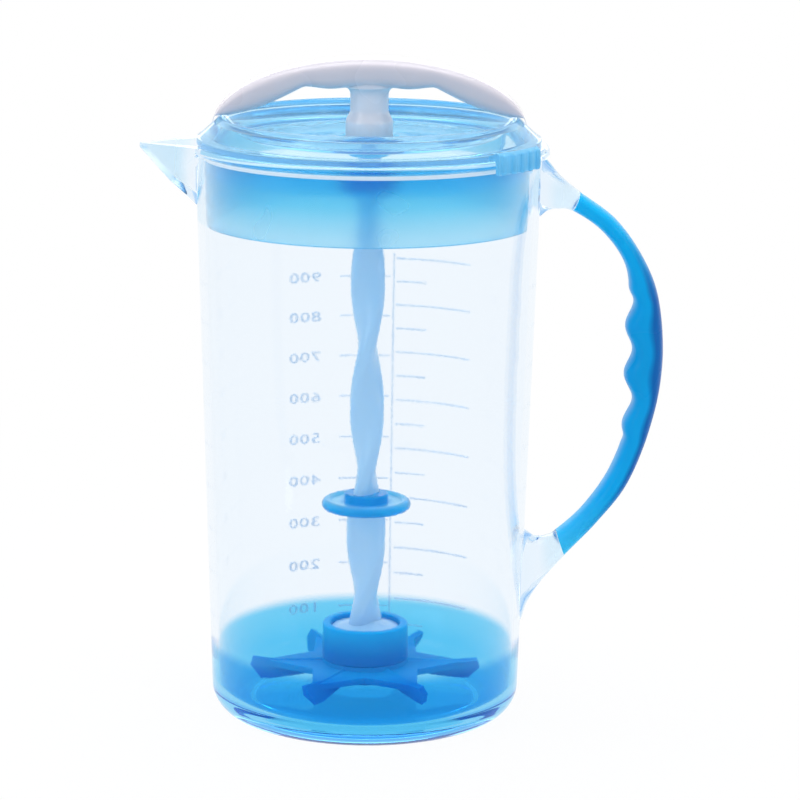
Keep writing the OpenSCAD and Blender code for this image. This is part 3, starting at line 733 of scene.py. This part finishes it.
def make_jug():
    jug = as_object(spun(jug_profile()), "jug")
    spout = as_object(spout_form(0, 0, 1, 0), "spout")
    low, high = -1, BODY_H + 1
    mid_wall = [(0, low), (wall_r(low) - WALL / 2, low), (wall_r(high) - WALL / 2, high), (0, high)]
    combine(spout, spun(mid_wall), "DIFFERENCE")
    combine_object(jug, spout, "UNION")
    combine(jug, handle_stretch(0, GRIP_FIRST, 0.2, 0), "UNION")
    combine(jug, handle_stretch(GRIP_LAST, HANDLE_END, 0.2, 0), "UNION")
    combine(jug, handle_stretch(GRIP_FIRST - 0.3, GRIP_LAST + 0.3, 0.2, GRIP_SKIN + 0.05), "UNION")
    combine(jug, rim_lug(), "UNION")
    combine(jug, spout_form(SPOUT_WALL, 4, 0.5, WALL * 2), "DIFFERENCE")
    return finish_piece(jug, "jug", CLEAR_JUG, ["pitcher_body"], sharp=30)


def make_grip():
    grip = as_object(handle_stretch(GRIP_FIRST + 0.02, GRIP_LAST, 0.05, 0.08, True, 40), "grip")
    combine(grip, handle_stretch(GRIP_FIRST - 0.4, GRIP_LAST + 0.4, 0.2, GRIP_SKIN - 0.1),
            "DIFFERENCE")
    return finish_piece(grip, "jug", GRIP_BLUE, ["handle_grip"], sharp=40)


# ------------------------------------------------------------ the measures
MILLILITRE = 1000.0
OUNCE = 29.574 * MILLILITRE
# How far a mark stands out of the wall and into it, and a line's height
MARK_OUT, MARK_SUNK, LINE_H = 0.25, 0.3, 0.4
NUMBER_X, NUMBER_SIZE, NUMBER_WIDEN = -15.5, 4.6, 1.6
MILLILITRE_LINE = (-9.3, 7.4)
OUNCE_FROM, OUNCE_SHORT, OUNCE_LONG = 9.6, 19.5, 34.0
DIVIDER_X, DIVIDER_HALF_ANGLE = 8.5, 0.22


def height_of(volume):
    """Height of the surface of a volume in the jug, in cubic millimetres."""
    z, step, filled = FLOOR_Z, 0.05, 0.0
    while filled < volume:
        filled += math.pi * inner_r(z) ** 2 * step
        z += step
    return z


def mark(low, high, start, sweep, steps):
    """A raised patch of the wall over an angle, between two (radius, height) points of it."""
    (low_r, low_z), (high_r, high_z) = low, high
    return spun_part([(low_r - MARK_SUNK, low_z), (low_r + MARK_OUT, low_z),
                      (high_r + MARK_OUT, high_z), (high_r - MARK_SUNK, high_z)],
                     start, sweep, steps)


def back_line(x0, x1, z):
    """A raised line across the back of the wall, between two places on X."""
    r = wall_r(z)
    start, end = (math.degrees(math.acos(x / r)) for x in (x1, x0))
    return mark((r, z - LINE_H / 2), (r, z + LINE_H / 2), start, end - start,
                max(2, round((end - start) / 3)))


def back_number(number, z):
    """A raised number on the back of the wall, read from behind."""
    curve = bpy.data.curves.new("number", "FONT")
    curve.body, curve.size, curve.extrude, curve.align_x = number, NUMBER_SIZE, 0.2, "LEFT"
    curve.resolution_u, curve.space_character = 3, 1.1
    text = bpy.data.objects.new("number", curve)
    bpy.context.scene.collection.objects.link(text)
    graph = bpy.context.evaluated_depsgraph_get()
    mesh = bpy.data.meshes.new_from_object(text.evaluated_get(graph))
    bm = bmesh.new()
    bm.from_mesh(mesh)
    bpy.data.objects.remove(text)
    bpy.data.meshes.remove(mesh)
    bmesh.ops.remove_doubles(bm, verts=bm.verts, dist=1e-4)
    for v in bm.verts:
        height = z + v.co.y - NUMBER_SIZE * 0.35
        r = wall_r(height) + v.co.z
        angle = math.acos(NUMBER_X / wall_r(z)) + v.co.x * NUMBER_WIDEN / wall_r(z)
        v.co = (r * math.cos(angle), r * math.sin(angle), height)
    bmesh.ops.recalc_face_normals(bm, faces=bm.faces)
    return bm


def joined(parts):
    """One bmesh of several, which may lie apart."""
    bm = bmesh.new()
    for part in parts:
        mesh = bpy.data.meshes.new("part")
        part.to_mesh(mesh)
        part.free()
        bm.from_mesh(mesh)
        bpy.data.meshes.remove(mesh)
    return bm


def make_marks():
    """Millilitres on the left, ounces on the right of a dividing line, as seen from the front."""
    parts = []
    for n in range(1, 10):
        z = height_of(n * 100 * MILLILITRE)
        parts += [back_line(*MILLILITRE_LINE, z), back_number(str(n * 100), z)]
    for n in range(1, 17):
        end = OUNCE_LONG if n % 2 == 0 else OUNCE_SHORT
        parts.append(back_line(OUNCE_FROM, end, height_of(n * 2 * OUNCE)))
    middle = math.degrees(math.acos(DIVIDER_X / wall_r(100)))
    low, high = height_of(50 * MILLILITRE), height_of(960 * MILLILITRE)
    parts.append(mark((wall_r(low), low), (wall_r(high), high),
                      middle - DIVIDER_HALF_ANGLE, 2 * DIVIDER_HALF_ANGLE, 2))
    marks = as_object(joined(parts), "measures")
    return finish_piece(marks, "jug", PLAIN_MARKS)


# ------------------------------------------------------------------ the lid
def lid_profile():
    """Section of the lid: dish, raised rim, flange, skirt with its seal groove, and boss."""
    edge = LID_T / 2
    foot = LID_RIM_R - 6
    seal_low = SEAL_TOP - SEAL_H
    under = DISH_Z - LID_T
    low = SKIRT_LOW
    bore = GUIDE_R + FIT
    seat = GUIDE_FLANGE_R + FIT
    top_side = (
        [(seat, DISH_Z)]
        + stretch((seat + 2, DISH_Z), (foot - 2, DISH_Z), 8)
        + [(foot - 2, DISH_Z), (foot - 0.6, DISH_Z + 0.2), (foot + 0.2, DISH_Z + 0.7)]
        + stretch((foot + 0.7, DISH_Z + 1.4), (LID_RIM_R - edge * 2.6, LID_TOP - edge * 1.6), 2)
        + arc(LID_RIM_R - edge * 1.2, LID_TOP - edge, edge, 160, 40, 8)
        + stretch((LID_RIM_R + 0.4, LID_TOP - edge * 1.3),
                  (FLANGE_R - 1.2, BODY_H + FLANGE_T + 0.5), 2)
        + [(FLANGE_R - 1.0, BODY_H + FLANGE_T + 0.35)]
        + arc(FLANGE_R - 0.6, BODY_H + FLANGE_T - 0.6, 0.6, 80, 0, 4)
        + arc(FLANGE_R - 0.4, BODY_H + 0.4, 0.4, 0, -90, 3)
    )
    skirt = (
        [(skirt_r(BODY_H) + 0.5, BODY_H), (skirt_r(BODY_H), BODY_H - 0.4),
         (skirt_r(SEAL_TOP), SEAL_TOP), (skirt_r(SEAL_TOP) - SEAL_SEAT, SEAL_TOP),
         (skirt_r(seal_low) - SEAL_SEAT, seal_low)]
        + stretch((skirt_r(seal_low), seal_low), (skirt_r(low + 0.5), low + 0.5), 4)
        + arc(skirt_r(low) - 0.45, low + 0.45, 0.45, 0, -90, 3)
        + arc(skirt_r(low) - SKIRT_T + 0.45, low + 0.45, 0.45, -90, -180, 3)
        + stretch((skirt_r(low + 3) - SKIRT_T, low + 3),
                  (skirt_r(seal_low - 2) - SKIRT_T, seal_low - 2), 4)
        + [(skirt_r(seal_low - 2) - SKIRT_T, seal_low - 2),
           (skirt_r(seal_low) - SKIRT_T - SEAL_SEAT, seal_low),
           (skirt_r(BODY_H) - SKIRT_T - SEAL_SEAT, BODY_H)]
    )
    hollow = [(skirt_r(BODY_H) - SKIRT_T, BODY_H + 1.2), (LID_RIM_R - 0.4, LID_TOP - LID_T - 0.6),
              (LID_RIM_R - 1.6, LID_TOP - LID_T - 0.6), (foot + 2.2, under + 1.2),
              (foot + 1.2, under + 0.3), (foot, under)]
    boss = (
        stretch((foot - 3, under), (BOSS_R + BOSS_FLARE, under), 8)
        + arc(BOSS_R + BOSS_FLARE, under - BOSS_FLARE, BOSS_FLARE, 90, 180, 12)
        + [(BOSS_R - 0.5, BOSS_LOW + 0.5), (BOSS_R - 0.9, BOSS_LOW), (bore, BOSS_LOW),
           (bore, DISH_Z - GUIDE_FLANGE_T - FIT), (seat, DISH_Z - GUIDE_FLANGE_T - FIT)]
    )
    return top_side + skirt + hollow + boss


def pour_gap():
    """The wedge that opens the skirt towards the handle."""
    inside, low = skirt_r(SKIRT_LOW) - SKIRT_T - 2, SKIRT_LOW - 1
    outside, top = inside + SKIRT_T + 6, BODY_H - POUR_GAP_DROP
    return spun_part([(inside, low), (outside, low), (outside, top), (inside, top)],
                     -POUR_GAP_ANGLE / 2, POUR_GAP_ANGLE, 16)


def tab_plate():
    """The curved plate of the thumb tab, which hangs over the rim bead."""
    inner, outer, low, top = TAB_IN_R, TAB_OUT_R, TAB_LOW, TAB_TOP
    return spun_part([
        (FLANGE_R - FIT, BODY_H + 0.9), (inner - 0.6, BODY_H + 0.9), (inner, BODY_H + 0.3),
        (inner, low + 0.5), (inner + 0.5, low), (outer - 0.5, low), (outer, low + 0.5),
        (outer, top - 1.6), (outer - 0.5, top - 0.95), (outer - 1.4, top - 0.6),
        (FLANGE_R - FIT, BODY_H + FLANGE_T - 0.4)], TAB_FROM, TAB_SPAN, 20)


def tab_rib(angle):
    """One upright rib of the thumb tab, with a round head and foot."""
    bm = bmesh.new()
    bmesh.ops.create_uvsphere(bm, u_segments=20, v_segments=12, radius=TAB_RIB_R)
    for v in bm.verts:
        v.co.z += TAB_TOP - 2 if v.co.z > 1e-4 else TAB_LOW + 1.1
    bmesh.ops.translate(bm, verts=bm.verts, vec=(TAB_OUT_R - 0.1, 0, 0))
    turn(bm, angle)
    return clean(bm)


def make_lid():
    lid = as_object(spun(lid_profile(), 160), "lid_dish")
    combine(lid, pour_gap(), "DIFFERENCE")
    return finish_piece(lid, "lid", LID_BLUE, ["lid"], sharp=30)


def make_tab():
    """The ribbed thumb tab on the edge of the flange."""
    tab = as_object(tab_plate(), "thumb_tab")
    for i in range(TAB_RIBS):
        combine(tab, tab_rib(TAB_FROM + TAB_SPAN * (i + 0.5) / TAB_RIBS), "UNION")
    return finish_piece(tab, "lid", TAB_BLUE, ["lid"], sharp=40)


# ---------------------------------------------------------- the pump handle
def arch_over(x):
    """Top of the arch at a distance from the post."""
    foot = ARCH_END_Z - 4.2
    return foot + (ARCH_TOP - foot) * math.sqrt(max(0.0, 1 - (x / ARCH_HALF_L) ** 2))


def arch_under(x):
    """Underside of the arch: a shallow ripple beside the post, then a curve down to the rim."""
    past = abs(x) - RIPPLE_REACH
    crown = ARCH_TOP - ARCH_T
    if past < 0:
        return crown + RIPPLE_H / 2 * (1 + math.cos(TURN * past / RIPPLE_PITCH))
    share = min(1.0, past / (ARCH_HALF_L - RIPPLE_REACH - 1.6))
    start = crown + RIPPLE_H
    return start - (start - ARCH_END_Z) * math.sin(math.pi / 2 * share)


def arch_ring(x, sides):
    """One section of the arch: a rounded box that narrows towards the ends."""
    high = arch_over(x)
    low = min(arch_under(x), high - 0.6)
    middle, half = (high + low) / 2, (high - low) / 2
    width = ARCH_END_HALF_W + (ARCH_HALF_W - ARCH_END_HALF_W) * (1 - (x / ARCH_HALF_L) ** 2)
    turns = [TURN * (k + 0.5) / sides for k in range(sides)]
    return [(x, width * squash(math.cos(a), 0.45), middle + half * squash(math.sin(a), 0.55))
            for a in turns]


def post_profile():
    """Section of the post: a wide foot, a waist, and the bores for the collar and the head."""
    swell_low, swell_high, shoulder = DISH_Z + 4.4, DISH_Z + 8.4, arch_under(8)
    bore, head_bore, head_top = COLLAR_R + FIT, HEAD_R + 0.06, SHAFT_TOP + 0.1
    swell = [(POST_R + (POST_WAIST_R - POST_R) * ramp(i / 10, 0, 1),
              swell_low + (swell_high - swell_low) * i / 10) for i in range(11)]
    wide = POST_WAIST_R + POST_SHOULDER_R
    return (
        [(bore, DISH_Z), (POST_R - 0.4, DISH_Z)] + arc(POST_R - 0.4, DISH_Z + 0.4, 0.4, -90, 0, 3)
        + swell + arc(wide, shoulder - POST_SHOULDER_R, POST_SHOULDER_R, 180, 90, 10)
        + [(wide, shoulder + 2), (0, shoulder + 2), (0, head_top), (head_bore, head_top),
           (head_bore, COLLAR_TOP + FIT), (bore, COLLAR_TOP + FIT)]
    )


def make_pump_handle():
    count = 60
    end = ARCH_HALF_L * ARCH_END_SHARE
    stations = [end * math.sin(math.pi / 2 * i / count) for i in range(-count, count + 1)]
    arch = as_object(lofted([arch_ring(x, 40) for x in stations]), "arch")
    combine(arch, spun(post_profile(), 72), "UNION")
    return finish_piece(arch, "pump_handle", SOFT_WHITE, ["pump_handle"], sharp=40)


# ----------------------------------------------------------------- the mixer
def shaft_ring(z, width, thick):
    """One section of the twisted shaft at a height."""
    turn = TURN * (z - WIDE_Z) / TWIST_PITCH
    c, s = math.cos(turn), math.sin(turn)
    ring = []
    for i in range(SHAFT_SIDES):
        a = TURN * (i + 0.5) / SHAFT_SIDES
        x = width / 2 * squash(math.cos(a), SHAFT_FLATNESS)
        y = thick / 2 * squash(math.sin(a), SHAFT_FLATNESS)
        ring.append((x * c - y * s, x * s + y * c, z))
    return ring


def helix(low, high, width, thick):
    """The shaft's twisted section between two heights."""
    count = math.ceil(high - low)
    heights = [low + (high - low) * i / count for i in range(count + 1)]
    return lofted([shaft_ring(z, width, thick) for z in heights])


def shaft_end_profile():
    """Neck and head, which turn in the collar."""
    head_low = COLLAR_TOP + 0.1
    return [(0, HELIX_TOP - 2), (SHAFT_T / 2 - 0.4, HELIX_TOP - 1), (NECK_R, HELIX_TOP),
            (NECK_R, head_low), (HEAD_R, head_low), (HEAD_R, SHAFT_TOP - 0.8),
            (HEAD_R - 0.8, SHAFT_TOP), (0, SHAFT_TOP)]


def shaft_foot_profile():
    """Plug in the cup, with the flared foot of the shaft on it."""
    plug_r, low, top = CUP_R - CUP_WALL - FIT, CUP_LOW + CUP_FLOOR_T, PLUG_TOP + FOOT_FLARE
    return ([(0, low), (plug_r - 0.4, low), (plug_r, low + 0.4), (plug_r, PLUG_TOP - 0.5)]
            + arc(plug_r - 0.5, PLUG_TOP - 0.5, 0.5, 0, 90, 3)
            + arc(LOW_T / 2 + FOOT_OUT, top, FOOT_FLARE, 225, 180, 10) + [(0, top)])


def make_shaft():
    shaft = as_object(helix(RING_LOW - 0.01, HELIX_TOP, SHAFT_W, SHAFT_T), "shaft")
    combine(shaft, helix(PLUG_TOP - 1, RING_LOW, LOW_W, LOW_T), "UNION")
    combine(shaft, spun(shaft_end_profile(), 48), "UNION")
    combine(shaft, spun(shaft_foot_profile(), 96), "UNION")
    return finish_piece(shaft, "mixer", SHAFT_WHITE, ["twisted_shaft"], sharp=40)


def make_ring():
    low, high, side = RING_LOW, RING_HIGH, RING_HUB_R
    profile = (
        [(0, low), (side - 0.4, low), (side, low + 0.4), (side, RING_Z - 0.8)]
        + arc(RING_R - RING_EDGE_R, RING_Z, RING_EDGE_R, 209, 509, 20)
        + [(side, RING_Z + 0.8), (side, high - 0.4), (side - 0.4, high), (0, high)]
    )
    ring = as_object(spun(profile, 96), "ring")
    combine(ring, helix(low - 1, high + 1, SHAFT_W + RING_FIT, SHAFT_T + RING_FIT), "DIFFERENCE")
    return finish_piece(ring, "mixer", RING_BLUE, ["splash_ring"], sharp=40)


def make_cup():
    inner, floor, lip = CUP_R - CUP_WALL, CUP_LOW + CUP_FLOOR_T, 0.6
    profile = ([(0, CUP_LOW), (CUP_R - 0.3, CUP_LOW), (CUP_R, CUP_LOW + 0.3)]
               + arc(CUP_R - lip, CUP_TOP - lip, lip, 0, 90, 4)
               + arc(inner + lip, CUP_TOP - lip, lip, 90, 180, 4) + [(inner, floor), (0, floor)])
    cup = as_object(spun(profile, 96), "cup")
    return finish_piece(cup, "mixer", HUB_BLUE, ["blade_hub"], sharp=40)


def star_plate():
    """Six-pointed plate under the cup."""
    bm = bmesh.new()
    verts = bmesh.ops.create_circle(bm, segments=2 * BLADE_ARMS, radius=1, cap_ends=True)["verts"]
    for v in verts:
        a = math.atan2(v.co.y, v.co.x)
        tip = round(math.degrees(a) / (180 / BLADE_ARMS)) % 2 == 0
        r = STAR_OUT_R if tip else STAR_IN_R
        v.co = (r * math.cos(a), r * math.sin(a), STAR_LOW)
    made = bmesh.ops.extrude_face_region(bm, geom=bm.faces[:])["geom"]
    top = [g for g in made if isinstance(g, bmesh.types.BMVert)]
    bmesh.ops.translate(bm, verts=top, vec=(0, 0, STAR_T))
    return clean(bm)


def blade_arm(angle):
    """One leaning paddle of the star."""
    low, top = BLADE_LOW, BLADE_LOW + ARM_H
    outline = [(CUP_R - 3, top), (BLADE_R * 0.74, top - 0.6), (BLADE_R - 0.8, top + 0.4),
               (BLADE_R, top - 2.4), (BLADE_R - 3.4, low), (BLADE_R - 6.6, low),
               (STAR_IN_R, ARM_ROOT_Z), (CUP_R - 3, ARM_ROOT_Z)]
    bm = bmesh.new()
    verts = [bm.verts.new((x, ARM_T / 2, z)) for x, z in outline]
    face = bm.faces.new(verts)
    made = bmesh.ops.extrude_face_region(bm, geom=[face])["geom"]
    far_side = [g for g in made if isinstance(g, bmesh.types.BMVert)]
    bmesh.ops.translate(bm, verts=far_side, vec=(0, -ARM_T, 0))
    turn(bm, ARM_LEAN, "X", STAR_LOW + STAR_T / 2)
    turn(bm, angle)
    return clean(bm)


def make_blade():
    blade = as_object(star_plate(), "blade")
    hub = [(0, ARM_ROOT_Z), (CUP_R - 0.5, ARM_ROOT_Z), (CUP_R, ARM_ROOT_Z + 0.5),
           (CUP_R, CUP_LOW), (0, CUP_LOW)]
    combine(blade, spun(hub, 96), "UNION")
    for i in range(BLADE_ARMS):
        combine(blade, blade_arm(360 * i / BLADE_ARMS), "UNION")
    soften(blade, 0.3, 40)
    return finish_piece(blade, "mixer", BLADE_BLUE, ["impeller"], sharp=40)


# --------------------------------------------------------------- the stage
PHOTO_W = 800
CAMERA_PLACE = (0.0, -1.0274, 0.3248)
CAMERA_PITCH, CAMERA_ROLL = 12.363, 0.460
FOCAL_PIXELS = 3368.6
AXIS_PIXELS_LEFT = 32.95
SENSOR = 36.0
# Metres from the axis between which the floor's own light goes up to all of it
FLOOR_NEAR, FLOOR_FAR, FLOOR_NEAR_SHARE = 0.10, 0.45, 0.92


def make_camera():
    data = bpy.data.cameras.new("camera")
    camera = bpy.data.objects.new("camera", data)
    bpy.context.scene.collection.objects.link(camera)
    data.sensor_width = SENSOR
    data.lens = FOCAL_PIXELS / PHOTO_W * SENSOR
    data.shift_x = AXIS_PIXELS_LEFT / PHOTO_W
    data.clip_start, data.clip_end = 0.05, 20.0
    camera.matrix_world = (
        Matrix.Translation(CAMERA_PLACE)
        @ Matrix.Rotation(math.radians(90 - CAMERA_PITCH), 4, "X")
        @ Matrix.Rotation(math.radians(CAMERA_ROLL), 4, "Z")
    )
    bpy.context.scene.camera = camera


def background_rays(nodes):
    """1 for rays that show the background: from the camera, off a gloss or through a piece."""
    path = nodes.new("ShaderNodeLightPath").outputs
    straight = maths(nodes, "MAXIMUM", path["Is Camera Ray"], path["Is Glossy Ray"])
    return maths(nodes, "MAXIMUM", straight, path["Is Transmission Ray"])


def make_world():
    world = bpy.data.worlds.new("studio")
    bpy.context.scene.world = world
    world.use_nodes = True
    nodes, links = world.node_tree.nodes, world.node_tree.links
    nodes.clear()
    soft, white = nodes.new("ShaderNodeBackground"), nodes.new("ShaderNodeBackground")
    soft.inputs["Color"].default_value = (0.94, 0.96, 1.0, 1)
    soft.inputs["Strength"].default_value = 0.56
    white.inputs["Color"].default_value = (1, 1, 1, 1)
    surface = mixed_shaders(nodes, background_rays(nodes), soft.outputs["Background"],
                            white.outputs["Background"])
    links.new(surface, nodes.new("ShaderNodeOutputWorld").inputs["Surface"])


def make_floor():
    """A pale floor that keeps the shadow and otherwise meets the white background."""
    bm = bmesh.new()
    bmesh.ops.create_grid(bm, x_segments=1, y_segments=1, size=3000)
    bmesh.ops.translate(bm, verts=bm.verts, vec=(0, 0, -0.2))
    floor = as_object(bm, "floor")
    material, nodes, links = new_tree("pale_floor")
    paint, light = nodes.new("ShaderNodeBsdfDiffuse"), nodes.new("ShaderNodeEmission")
    paint.inputs["Color"].default_value = (0.9, 0.9, 0.9, 1)
    light.inputs["Color"].default_value = (1, 1, 1, 1)
    light.inputs["Strength"].default_value = 1.0
    far = between(nodes, place_on_object(nodes, links)[1], FLOOR_NEAR, FLOOR_FAR,
                  FLOOR_NEAR_SHARE, 1.0)
    surface = mixed_shaders(nodes, maths(nodes, "MULTIPLY", background_rays(nodes), far),
                            paint.outputs["BSDF"], light.outputs["Emission"])
    links.new(surface, nodes.new("ShaderNodeOutputMaterial").inputs["Surface"])
    floor.data.materials.append(material)


def make_lamp(name, place, target, size, watts, seen=True):
    data = bpy.data.lights.new(name, "AREA")
    data.shape = "RECTANGLE"
    data.size, data.size_y = size
    data.energy = watts
    lamp = bpy.data.objects.new(name, data)
    lamp.visible_camera = lamp.visible_transmission = seen
    bpy.context.scene.collection.objects.link(lamp)
    lamp.location = place
    lamp.rotation_euler = (Vector(target) - Vector(place)).to_track_quat("-Z", "Y").to_euler()


def make_lights():
    middle = (0, 0, 0.10)
    make_lamp("top_softbox", (0.0, 0.15, 1.1), middle, (1.0, 0.8), 7.0)
    make_lamp("left_softbox", (-0.9, -0.6, 0.6), middle, (0.5, 0.8), 3.5)
    make_lamp("right_softbox", (1.0, -0.5, 0.5), middle, (0.4, 0.8), 2.5)
    make_lamp("back_softbox", (0.0, 0.9, 0.34), (0, 0, 0.18), (0.6, 0.22), 0.5, seen=False)


# ------------------------------------------------------------------- build
make_camera()
make_world()
make_floor()
make_lights()
make_jug()
make_marks()
make_grip()
make_lid()
make_tab()
make_pump_handle()
make_shaft()
make_ring()
make_cup()
make_blade()
for node, material in (("lid_seal", SEAL_WHITE), ("shaft_guide", GUIDE_BLUE),
                       ("swivel_collar", SOFT_WHITE)):
    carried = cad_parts[node]
    carried.data.materials.clear()
    carried.data.materials.append(material)

bpy.context.scene.view_settings.view_transform = "Standard"
